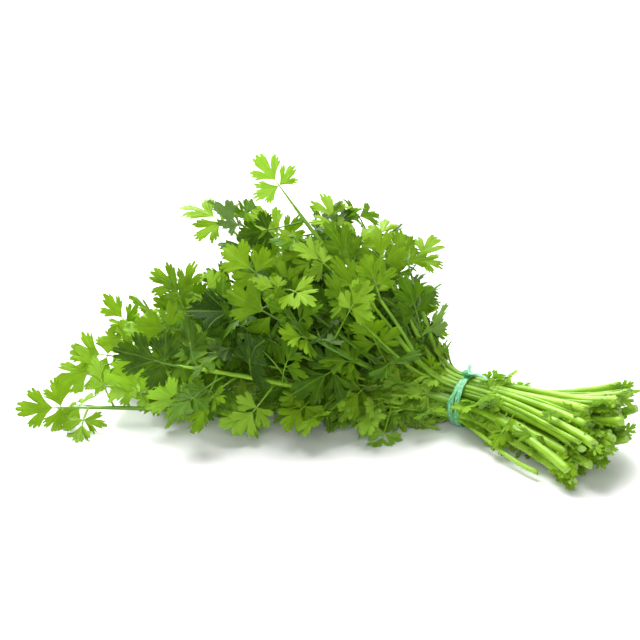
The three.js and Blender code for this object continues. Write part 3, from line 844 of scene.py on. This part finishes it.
def companion_point(stem, distance, reach):
    """A point of the thinner petiole that runs beside a stem."""
    tangent = stem_tangent(stem, distance)
    p = stem_point(stem, distance)
    grown = min(1, abs(distance) / CUT_LENGTH[1])
    bearing = between(0, 360, stem.index, 76) + COMPANION_TURN * grown
    beside = turned(perpendicular(UP, tangent), tangent, bearing)
    offset = beside * mix(*COMPANION_OFFSET, grown)
    if distance < 0:
        bow = sin(pi * min(1, -distance / stem.cut))
        offset += Vector((0, -1, 0)) * (LOOSE_COMPANIONS.get(stem.index, 0) * bow)
    elif stem.index in LONG_COMPANIONS:
        out = perpendicular(outward(p), tangent)
        risen = distance / reach
        offset = offset.lerp(out * LONG_COMPANION_RISE, risen * risen * (3 - 2 * risen))
    return p + offset + wandering(stem, distance, 2)


def grow_companion(bm, stem, tone):
    """A thinner petiole from the cut ends through the tie into the foliage. Returns its leaf."""
    end = -stem.cut * between(*COMPANION_CUT, stem.index, 74)
    reach = LONG_COMPANIONS.get(stem.index, between(*COMPANION_REACH, stem.index, 75))
    thick = between(*COMPANION_RADIUS, stem.index, 77)
    shares = [k / COMPANION_STEPS for k in range(COMPANION_STEPS + 1)]
    radii = [thick * mix(1, 0.55, share) for share in shares]
    points = [companion_point(stem, mix(end, reach, share), reach) for share in shares]
    points = [rested(p, radius) for p, radius in zip(points, radii)]
    grow_tube(bm, points, radii, SIDES["companion"], tone, between(0, 0.8, stem.index, 78))
    ahead = (points[-1] - points[-2]).normalized()
    return loose_leaf(stem, COMPANION_NUMBER, points[-1], ahead, reach, COMPANION_LEAF)


PETIOLE_STEPS = 5
PETIOLE_RADIUS = (0.62, 0.3)  # at the stem and at the end leaflet
STALK_RADIUS = (0.36, 0.3)


def grow_leaf(bm, leaf, tone):
    blades = [grow_leaflet(bm, leaf, side, tone) for side in sides_of(leaf)]
    steps = range(PETIOLE_STEPS + 1)
    petiole = [rested(rachis_at(leaf, blades[0].at * k / PETIOLE_STEPS)[0], 0.6) for k in steps]
    radii = [mix(*PETIOLE_RADIUS, k / PETIOLE_STEPS) for k in steps]
    grow_tube(bm, petiole, radii, SIDES["petiole"], tone)
    for blade in blades[1:]:
        stalk = [rested(blade.base + blade.rib * (blade.stalk * k), 0.5) for k in range(2)]
        grow_tube(bm, stalk, STALK_RADIUS, SIDES["stalk"], tone)


def finish_piece(bm, name, materials, nodes):
    for face in bm.faces:
        face.material_index = min(face.material_index, len(materials) - 1)
    bmesh.ops.remove_doubles(bm, verts=bm.verts, dist=0.0004)
    bmesh.ops.scale(bm, vec=(MM, MM, MM), verts=bm.verts)
    mesh = kept_mesh(bm, name)
    for material in materials:
        mesh.materials.append(material)
    piece = linked(name, mesh)
    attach(piece, "root")
    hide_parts(*nodes)


# ---- Materials ----
RELIEF = 0.0006  # greatest height of a bump, in metres


def operator(operation, reflected=False):
    """An operator of sockets that adds a Math node."""

    def applied(socket, other):
        return socket.maths(operation, *((other, socket) if reflected else (socket, other)))

    return applied


class Socket:
    """An output of a node, with arithmetic that adds Math nodes."""

    def __init__(self, recipe, output):
        self.recipe = recipe
        self.output = output

    def maths(self, operation, *values):
        return self.recipe.node("Math", dict(enumerate(values)), operation=operation)

    __add__ = __radd__ = operator("ADD")
    __mul__ = __rmul__ = operator("MULTIPLY")
    __sub__ = operator("SUBTRACT")
    __rsub__ = operator("SUBTRACT", reflected=True)
    __truediv__ = operator("DIVIDE")
    lower = operator("MINIMUM")
    higher = operator("MAXIMUM")

    def __abs__(self):
        return self.maths("ABSOLUTE", self)

    def clamped(self):
        return self.lower(1).higher(0)


class Recipe:
    """The nodes of one material."""

    def __init__(self, name):
        self.material = bpy.data.materials.new(name)
        self.material.use_nodes = True
        self.tree = self.material.node_tree
        self.tree.nodes.clear()

    def node(self, kind, values=None, output=0, **settings):
        made = self.tree.nodes.new("ShaderNode" + kind)
        for name, setting in settings.items():
            setattr(made, name, setting)
        for name, value in (values or {}).items():
            if isinstance(value, Socket):
                self.tree.links.new(value.output, made.inputs[name])
            else:
                made.inputs[name].default_value = value
        return Socket(self, made.outputs[output]) if len(made.outputs) else made

    def attribute(self, name):
        return self.node("Attribute", output="Fac", attribute_name=name)

    def object_place(self):
        return self.node("TexCoord", output="Object")

    def along(self, axis, place):
        return self.node("SeparateXYZ", {0: place}, axis)

    def surface_place(self):
        place = self.node("UVMap", uv_map="surface")
        return self.along("X", place), self.along("Y", place)

    def noise(self, scale, detail=2, vector=None):
        values = {"Vector": vector or self.object_place(), "Scale": scale, "Detail": detail}
        return self.node("TexNoise", values, "Fac")

    def ramp(self, factor, stops):
        blend = self.node("ValToRGB", {"Fac": factor})
        elements = blend.output.node.color_ramp.elements
        while len(elements) < len(stops):
            elements.new(1)
        for element, (position, colour) in zip(elements, stops):
            element.position = position
            element.color = (*colour, 1)
        return blend

    def blended(self, factor, first, second):
        """Some of a plain second colour in the first one."""
        return self.node("Mix", {0: factor, 6: first, 7: (*second, 1)}, 2, data_type="RGBA")

    def body(self, colour, roughness, gloss, relief, strength):
        bump = self.node("Bump", {"Height": relief, "Strength": strength, "Distance": RELIEF})
        values = {"Base Color": colour, "Roughness": roughness, "Specular IOR Level": gloss, "Normal": bump}
        return self.node("BsdfPrincipled", values)

    def finish(self, shader):
        self.node("OutputMaterial", {"Surface": shader})
        return self.material

    def finish_thin(self, body, colour, share):
        """Ends a material that lets a share of the light through, in a colour."""
        through = self.node("BsdfTranslucent", {"Color": (*colour, 1)})
        return self.finish(self.node("MixShader", {0: share, 1: body, 2: through}))


SIDE_RIB_AT = 0.66  # from the middle rib to the end of the margin
RIB_HALF_WIDTH, BRANCH_HALF_WIDTH = 0.022, 0.07
BRANCHES, BRANCH_SLANT = 4.4, 5  # along a rib
# Of the upper side and of the underside of a leaf.
VEIN_SHOWS = (0.24, 0.42)
VEIN_RISES = (-0.7, 0.9)
LEAF_ROUGHNESS = (0.36, 0.6)
LEAF_GLOSS = (0.09, 0.07)


def vein_mask(recipe):
    """Light ribs that fan out from the base of a leaflet to its lobes, with branches to their teeth."""
    u, share = recipe.surface_place()
    away = abs(u * 2 - 1)
    from_rib = away.lower(abs(away - SIDE_RIB_AT))
    rib = (1 - from_rib * share / RIB_HALF_WIDTH).clamped()
    wave = share * BRANCHES - from_rib * BRANCH_SLANT
    branch = (1 - abs(wave.maths("FRACT", wave) - 0.5) / BRANCH_HALF_WIDTH).clamped()
    return rib.higher(branch * 0.55)


def leaf_material(leaves, name, underside):
    recipe = Recipe(name)
    veins = vein_mask(recipe)
    patches = recipe.noise(160, 3)
    grain = recipe.noise(1500)
    # The tone is the leaf's painted light and shade plus random patches, so the ramp runs from painted shade
    # to painted light. The same tone sets how much light comes through.
    tone = recipe.attribute(TONE) + (patches - 0.5) * 0.45 + (grain - 0.5) * 0.12
    stops = [(0, leaves.deep), (0.35, leaves.middle), (0.7, leaves.bright), (1, leaves.lit_pale)]
    blade = recipe.ramp(tone.clamped(), stops)
    if underside:
        blade = recipe.blended(0.52, blade, leaves.underside)
    colour = recipe.blended(veins * VEIN_SHOWS[underside], blade, leaves.vein)
    roughness = LEAF_ROUGHNESS[underside] + grain * 0.16
    relief = veins * VEIN_RISES[underside] + patches * 1.5 + grain * 0.25
    body = recipe.body(colour, roughness, LEAF_GLOSS[underside], relief, 0.6)
    share = leaves.translucency * (0.2 + tone.clamped() * 1.3) - veins * 0.08
    return recipe.finish_thin(body, leaves.shine_through, share)


def stem_material(stems):
    recipe = Recipe("stem_ridged")
    around, along = recipe.surface_place()
    lengthwise = {"X": around * 9, "Y": along * 2.5, "Z": recipe.attribute(TONE) * 40}
    ridges = recipe.noise(2.2, 3, recipe.node("CombineXYZ", lengthwise))
    patches = recipe.noise(70)
    cut = recipe.attribute(CUT)
    # Painted shade: stems are painted darker in the foliage, where the leaves shade them, and lighter over
    # the first 50 mm from the tie towards the cut ends.
    painted_light_towards_cut = (recipe.along("X", recipe.object_place()) / 0.05).clamped()
    # The tone is random for stems, and on petioles it is the painted light and shade of their leaf. The
    # ridges are the stem's own paler stripes.
    shade = recipe.attribute(TONE) * 0.4 + ridges * 0.35 + (patches - 0.5) * 0.5 + painted_light_towards_cut * 0.2 - 0.08
    skin = recipe.ramp(shade.clamped(), [(0.1, stems.shaded), (0.45, stems.skin), (0.85, stems.pale)])
    colour = recipe.blended(cut * 0.75, skin, stems.cut_end)
    body = recipe.body(colour, 0.34 + ridges * 0.2 + cut * 0.2, 0.5, ridges, 0.5)
    return recipe.finish_thin(body, stems.pale, 0.12)


def strip_material(strip):
    recipe = Recipe("binding_strip_film")
    around, along = recipe.surface_place()
    creases = recipe.noise(3, 3, recipe.node("CombineXYZ", {"X": around * 3, "Y": along * 10}))
    dust = recipe.noise(900)
    # Painted shade in the folds and painted highlight on the ridges. The colour follows the creases' height,
    # with specks of dust and paler loose ends.
    painted_crease_light_and_dust = (creases * 1.2 + dust * 0.15 + recipe.attribute(TONE) * 0.5 - 0.4).clamped()
    colour = recipe.ramp(painted_crease_light_and_dust, [(0.25, strip.shaded), (0.5, strip.film), (0.8, strip.ridge)])
    body = recipe.body(colour, 0.22 + dust * 0.2, 0.6, creases, 0.6)
    return recipe.finish_thin(body, strip.film, 0.25)


# ---- Tie ----
KNOT_HALF_SIZE = (3, 2.4, 1.5)
TAIL_SHARE = 0.8  # of the strip's width
TAIL_COLUMNS = 8
TAIL_STEPS = 6  # between two points of its line
LONG_TAIL = ((0, 0, 0.9), (5, -2, 2.6), (9, -3.5, 3), (13, -4.5, 2))
SHORT_TAIL = ((0, 0, 0.9), (-1, 4, 2.4), (-3, 8, 2.2))
RING_COLUMNS = 14
RING_ROWS = 110
# Even value, and how it changes with the unevenness of the strip.
RING_WIDTH = (0.86, 0.3)
RING_THICKNESS = (0.9, -0.4)
RING_SETTLES = (-0.9, 0.35)


def grow_ring(bm, lean, key):
    """One turn of the strip: a flattened, creased and slightly twisted band that closes on itself."""

    def uneven(angle, scale, seed):
        return noise.noise(Vector((cos(angle) * scale, sin(angle) * scale, key * seed)))

    def place(i, j, height):
        angle = 2 * pi * (j % RING_ROWS) / RING_ROWS
        round_about = 2 * pi * (i % RING_COLUMNS) / RING_COLUMNS
        unevenness = uneven(angle, 2.2, 3.1)
        width, thickness, settled = (
            even + change * unevenness for even, change in (RING_WIDTH, RING_THICKNESS, RING_SETTLES)
        )
        across = cos(round_about) * (STRIP_WIDTH / 2 * width)
        crease = 0.16 * sin(across * 4.2 + unevenness * 5)
        flat = STRIP_THICKNESS / 2 * thickness
        out = sin(round_about) * flat + crease * abs(sin(round_about))
        twist = 0.5 * uneven(angle, 1.4, 5.7)
        along = across * cos(twist) - out * sin(twist)
        out = across * sin(twist) + out * cos(twist)
        wide = RING_HALF_WIDTH - STRIP_THICKNESS / 2 + settled + out
        rise = settled + out if sin(angle) > -0.5 else out * 0.5
        tall = RING_HALF_HEIGHT - STRIP_THICKNESS / 2 + rise
        p = turned(Vector((along, cos(angle) * wide, sin(angle) * tall)), UP, lean)
        return rested(p + UP * TIE_HEIGHT, 0.05)

    grow(bm, tube_pattern, RING_COLUMNS, RING_ROWS, place, 0.5)


def grow_tail(bm, middle_line, key):
    """A loose end of the strip: a folded ribbon that narrows to its tip."""
    top = TIE_HEIGHT + RING_HALF_HEIGHT
    line = [Vector((x, y, top + z)) for x, y, z in middle_line]
    steps = TAIL_STEPS * (len(line) - 1)

    def at(share):
        place = share * (len(line) - 1)
        k = min(int(place), len(line) - 2)
        return line[k].lerp(line[k + 1], place - k), (line[k + 1] - line[k]).normalized()

    def place(i, j, height):
        point, ahead = at(j / steps)
        right = ahead.cross(UP).normalized()
        above = right.cross(ahead)
        narrowed = 1 - 0.25 * j / steps
        across = (2 * i / TAIL_COLUMNS - 1) * TAIL_SHARE * STRIP_WIDTH / 2 * narrowed
        fold = 0.3 * sin(across * 3.4 + key + j * 0.25) + 0.25 * sin(j * 0.9 + key)
        return point + right * across + above * (fold + 0.12 * height)

    grow(bm, blade_pattern, TAIL_COLUMNS, steps, place, 0.85)


def grow_knot(bm):
    """The crumpled knot, with a groove pressed across it as by a loop of the strip."""
    made = bmesh.ops.create_icosphere(bm, subdivisions=4, radius=1, calc_uvs=True)["verts"]
    middle = Vector((0, 0, TIE_HEIGHT + RING_HALF_HEIGHT + STRIP_THICKNESS - 0.4))
    for corner in made:
        p = corner.co.copy()
        folds = 0.16 * sin(p.x * 7 + 3 * noise.noise(p * 1.3)) + 0.14 * noise.noise(p * 2.6)
        groove = -0.22 * math.exp(-((p.x * 3 - 0.4) ** 2))
        size = (half_size * (1 + folds + groove) for half_size in KNOT_HALF_SIZE)
        corner.co = middle + Vector(a * b for a, b in zip(p, size))
    for face in faces_at(made):
        face.smooth = True


# ---- Stage ----
TIE_TO_MIDDLE = (-74.3, -19.8, 34.1)  # from the tie to the point at the middle of the view
LAMPS_AIM = (-0.06, 0, 0.04)  # in metres
# Share of the lamps' power, size and place in metres.
LAMPS = {
    "overhead_softbox": (1, 1.0, (-0.35, 0.2, 1.2)),
    "back_softbox": (0.7, 0.8, (-0.9, 0.7, 0.6)),
    "front_softbox": (0.31, 0.8, (0.45, -1.1, 0.55)),
}


def add_floor():
    bm = bmesh.new()
    bmesh.ops.create_grid(bm, x_segments=1, y_segments=1, size=4)
    mesh = kept_mesh(bm, "table_top")
    recipe = Recipe("table_top_white")
    paint = recipe.ramp(recipe.noise(60), [(0, (0.9, 0.9, 0.9)), (1, (0.93, 0.93, 0.93))])
    body = recipe.node("BsdfPrincipled", {"Base Color": paint, "Roughness": 0.9})
    mesh.materials.append(recipe.finish(body))
    floor = linked("table_top", mesh)
    floor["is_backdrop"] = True


def aimed(name, data, place, aim):
    """A new object at place that looks at aim."""
    made = linked(name, data)
    made.location = place
    made.rotation_euler = (aim - place).to_track_quat("-Z", "Y").to_euler()
    return made


def add_lights(stage):
    world = bpy.data.worlds.new("studio")
    world.use_nodes = True
    background = world.node_tree.nodes["Background"].inputs
    background["Color"].default_value = (1, 1, 1, 1)
    background["Strength"].default_value = stage.daylight
    bpy.context.scene.world = world
    for name, (share, size, place) in LAMPS.items():
        light = bpy.data.lights.new(name, "AREA")
        light.energy = stage.lamp_power * share
        light.size = size
        aimed(name, light, Vector(place), Vector(LAMPS_AIM))
    bpy.context.scene.view_settings.view_transform = "Standard"


def add_camera(stage):
    lens = bpy.data.cameras.new("camera")
    lens.sensor_width = 36
    lens.lens = stage.lens
    tie = Vector((0, 0, 13 * MM))
    back = Vector((0, -cos(stage.elevation), sin(stage.elevation)))
    place = tie + turned(back, UP, math.degrees(stage.azimuth)) * stage.distance
    bpy.context.scene.camera = aimed("camera", lens, place, tie + Vector(TIE_TO_MIDDLE) * MM)


# ---- What a user may change ----
def colour(name, description, default):
    return FloatVectorProperty(
        name=name, description=description, subtype="COLOR", default=default, min=0, max=1
    )


def length(name, description, default, least=0.0):
    return FloatProperty(name=name, description=description, unit="LENGTH", default=default, min=least)


def angle(name, description, degrees):
    return FloatProperty(
        name=name, description=description, subtype="ANGLE", default=radians(degrees)
    )


def strength(name, description, default, unit="NONE"):
    return FloatProperty(name=name, description=description, unit=unit, default=default, min=0)


class CORIANDER_PG_stems(bpy.types.PropertyGroup):
    drift: length("Drift", "How far a stem may wander from its even course", 0.0011)
    skin: colour("Skin", "Colour of the stems", (0.23, 0.45, 0.012))
    # The pale and shaded skin colours carry painted light as well. Stems are painted paler towards the cut
    # ends, and darker as painted shade in the foliage and on the petioles of shaded leaves.
    pale: colour("Pale skin", "Colour of the palest ridges", (0.42, 0.68, 0.06))
    shaded: colour("Green skin", "Colour of the greenest stems", (0.07, 0.19, 0.004))
    cut_end: colour("Cut end", "Colour of the cut faces", (0.4, 0.6, 0.15))


class CORIANDER_PG_leaves(bpy.types.PropertyGroup):
    spacing: length("Spacing", "Between the leaves along a stem", 0.006, 0.002)
    smallest: length("Smallest", "Radius of the smallest end leaflets of the filling leaves", 0.006)
    largest: length("Largest", "Radius of the largest end leaflets of the filling leaves", 0.014)
    # The leaf greens run from painted shade to painted light. The darkest are the painted shade in the
    # middle of the bunch. The bright and lightest ones are painted light on the outer, high and low leaves,
    # each with a random tone as well.
    deep: colour("Deep green", "Colour of the darkest leaves", (0.016, 0.047, 0.001))
    middle: colour("Leaf green", "Colour of most leaves", (0.075, 0.18, 0.003))
    bright: colour("Bright green", "Colour of the outer leaves", (0.24, 0.41, 0.014))
    lit_pale: colour("Lit pale green", "Colour of the most lit leaves", (0.38, 0.62, 0.07))
    underside: colour("Underside", "Colour that the undersides lean to", (0.28, 0.42, 0.17))
    vein: colour("Veins", "Colour of the veins", (0.3, 0.5, 0.07))
    shine_through: colour("Light through", "Colour of light that comes through", (0.5, 0.75, 0.03))
    translucency: strength("Translucency", "Share of the light that a bright leaf lets through", 0.34)


class CORIANDER_PG_strip(bpy.types.PropertyGroup):
    film: colour("Film", "Colour of the binding strip", (0.11, 0.46, 0.19))
    # The folds' colour is painted shade and the ridges' colour a painted highlight, both laid on the creases
    # of the film.
    shaded: colour("Folds", "Colour in the folds of the strip", (0.03, 0.34, 0.11))
    ridge: colour("Ridges", "Colour on the ridges of the strip", (0.5, 0.86, 0.6))


class CORIANDER_PG_stage(bpy.types.PropertyGroup):
    azimuth: angle("Azimuth", "Side from which the tie is seen", 27)
    elevation: angle("Elevation", "Height from which the tie is seen", 25)
    distance: length("Distance", "From the tie to the camera", 1.0, 0.2)
    lens: strength("Lens", "Focal length in millimetres", 112)
    daylight: strength("Daylight", "Strength of the even light from all sides", 0.27)
    lamp_power: strength("Lamp", "Power of the large lamp, in watts", 29, "POWER")

# ---- Operators ----
class CORIANDER_OT_stage(bpy.types.Operator):
    """Sets the pale table, the soft lights and the camera"""

    bl_idname = "coriander.stage"
    bl_label = "Set stage"

    def execute(self, context):
        stage = context.scene.coriander_stage
        add_floor()
        add_lights(stage)
        add_camera(stage)
        return {"FINISHED"}


class CORIANDER_OT_sprigs(bpy.types.Operator):
    """Grows every sprig: a ridged stem with a pale cut end, and its leaves"""

    bl_idname = "coriander.sprigs"
    bl_label = "Grow sprigs"

    def execute(self, context):
        leaves = context.scene.coriander_leaves
        materials = [
            leaf_material(leaves, "leaf_upper_side", False),
            leaf_material(leaves, "leaf_underside", True),
            stem_material(context.scene.coriander_stems),
        ]
        for number, (across, up) in enumerate(bundle_slots(), 1):
            stem = make_stem(across, up, number)
            stem.drift = context.scene.coriander_stems.drift / MM
            own = [*leaves_of_solid(stem)]
            own += fill_leaves(stem, own, leaves)
            bm = new_mesh()
            grow_stem(bm, stem, own, between(0.2, 1, number, 72))
            end_leaf = grow_companion(bm, stem, between(0, 1, number, 79))
            if end_leaf:
                own.append(end_leaf)
            for leaf in own:
                # A leaf and its petiole take the leaf's painted light and shade as their tone.
                grow_leaf(bm, leaf, leaf_painted_light_and_tone(leaf))
            finish_piece(bm, f"grown_sprig_{number:02d}", materials, [f"sprig_{number:02d}"])
        return {"FINISHED"}


class CORIANDER_OT_strip(bpy.types.Operator):
    """Winds the binding strip twice round the stems and knots it"""

    bl_idname = "coriander.strip"
    bl_label = "Wind binding strip"

    def execute(self, context):
        bm = new_mesh()
        grow_ring(bm, STRIP_LEAN, 1)
        grow_ring(bm, -STRIP_LEAN, 2)
        grow_knot(bm)
        grow_tail(bm, LONG_TAIL, 0.4)
        grow_tail(bm, SHORT_TAIL, 1.9)
        material = strip_material(context.scene.coriander_strip)
        finish_piece(bm, "binding_strip", [material], ["tie"])
        return {"FINISHED"}


class CORIANDER_PT_panel(bpy.types.Panel):
    """Lists the steps in which the bunch is made"""

    bl_idname = "CORIANDER_PT_panel"
    bl_label = "Coriander bunch"
    bl_space_type = "VIEW_3D"
    bl_region_type = "UI"
    bl_category = "Coriander"

    def draw(self, context):
        for group in GROUPS:
            settings = getattr(context.scene, group)
            box = self.layout.box()
            for name in settings.bl_rna.properties.keys():
                if name not in ("rna_type", "name"):
                    box.prop(settings, name)
        for step in STEPS:
            self.layout.operator(step.bl_idname)


STEPS = (CORIANDER_OT_stage, CORIANDER_OT_sprigs, CORIANDER_OT_strip)
GROUPS = {
    "coriander_stems": CORIANDER_PG_stems,
    "coriander_leaves": CORIANDER_PG_leaves,
    "coriander_strip": CORIANDER_PG_strip,
    "coriander_stage": CORIANDER_PG_stage,
}
CLASSES = (*GROUPS.values(), *STEPS, CORIANDER_PT_panel)


def register():
    for kind in CLASSES:
        bpy.utils.register_class(kind)
    for name, group in GROUPS.items():
        setattr(bpy.types.Scene, name, PointerProperty(type=group))


def unregister():
    for name in GROUPS:
        delattr(bpy.types.Scene, name)
    for kind in reversed(CLASSES):
        bpy.utils.unregister_class(kind)


def main():
    register()
    bpy.ops.coriander.stage()
    bpy.ops.coriander.sprigs()
    bpy.ops.coriander.strip()
    boxes = {"cad": CAD_BOX, "visual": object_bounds()}
    {name: [list(corner) for corner in box] for name, box in boxes.items()}


if __name__ == "__main__":
    main()
